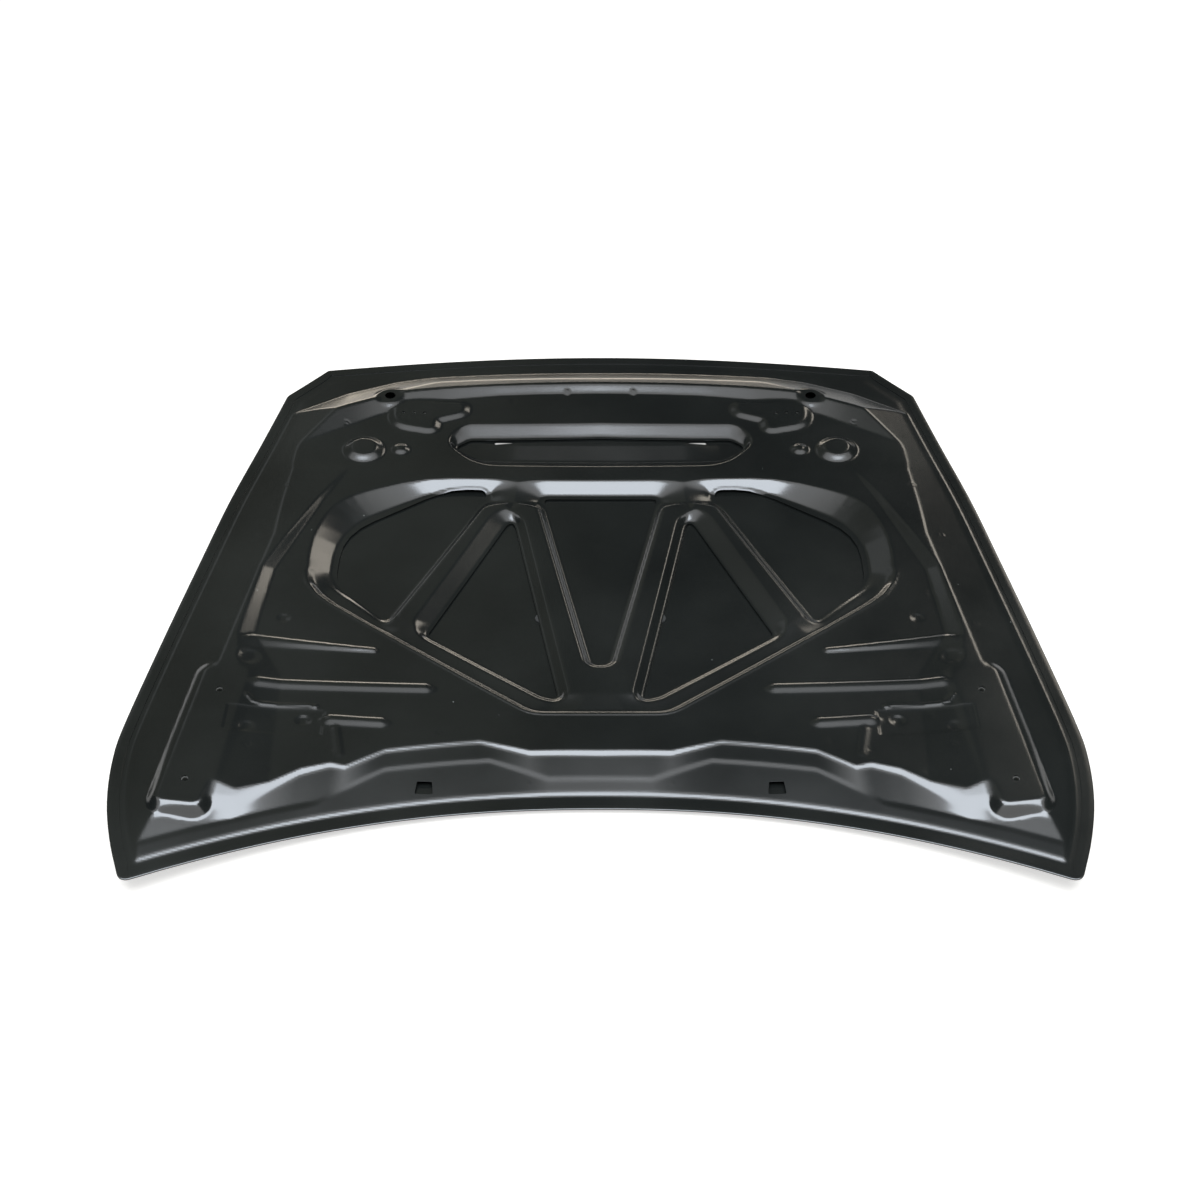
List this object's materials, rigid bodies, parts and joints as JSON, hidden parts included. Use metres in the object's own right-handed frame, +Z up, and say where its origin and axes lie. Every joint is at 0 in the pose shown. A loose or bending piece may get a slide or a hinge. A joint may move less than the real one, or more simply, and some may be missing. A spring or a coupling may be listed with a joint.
{
  "type": "car bonnet",
  "caption": "Steel car bonnet lying underside up: crowned outer skin hemmed round a pressed inner frame with ribs, openings and an air outlet.",
  "frame": {"origin": "under the middle of the box, on the surface that the outer skin lies on", "axes": "+Z up out of the underside, +Y towards the bonnet's front edge, +X across it, the longest way"},
  "size_m": [1.4972, 1.3366, 0.0564],
  "materials": {
    "primer": "satin",
    "nuts": "satin",
    "mastic": "matte"
  },
  "bodies": {
    "root": {"outer_skin": "primer", "inner_frame": "primer", "hinge_reinforcement_right": "primer", "hinge_nut_right_1": "nuts", "hinge_nut_right_2": "nuts", "striker_reinforcement_right": "primer", "striker_nut_right_1": "nuts", "striker_nut_right_2": "nuts", "striker_nut_right_3": "nuts", "mastic_dab_right_1": "mastic", "mastic_dab_right_2": "mastic", "mastic_dab_right_3": "mastic", "mastic_dab_right_4": "mastic", "mastic_dab_right_5": "mastic", "mastic_dab_right_6": "mastic", "mastic_dab_right_7": "mastic", "mastic_dab_right_8": "mastic", "mastic_dab_right_9": "mastic", "hinge_reinforcement_left": "primer", "hinge_nut_left_1": "nuts", "hinge_nut_left_2": "nuts", "striker_reinforcement_left": "primer", "striker_nut_left_1": "nuts", "striker_nut_left_2": "nuts", "striker_nut_left_3": "nuts", "mastic_dab_left_1": "mastic", "mastic_dab_left_2": "mastic", "mastic_dab_left_3": "mastic", "mastic_dab_left_4": "mastic", "mastic_dab_left_5": "mastic", "mastic_dab_left_6": "mastic", "mastic_dab_left_7": "mastic", "mastic_dab_left_8": "mastic", "mastic_dab_left_9": "mastic"}
  },
  "joints": []
}
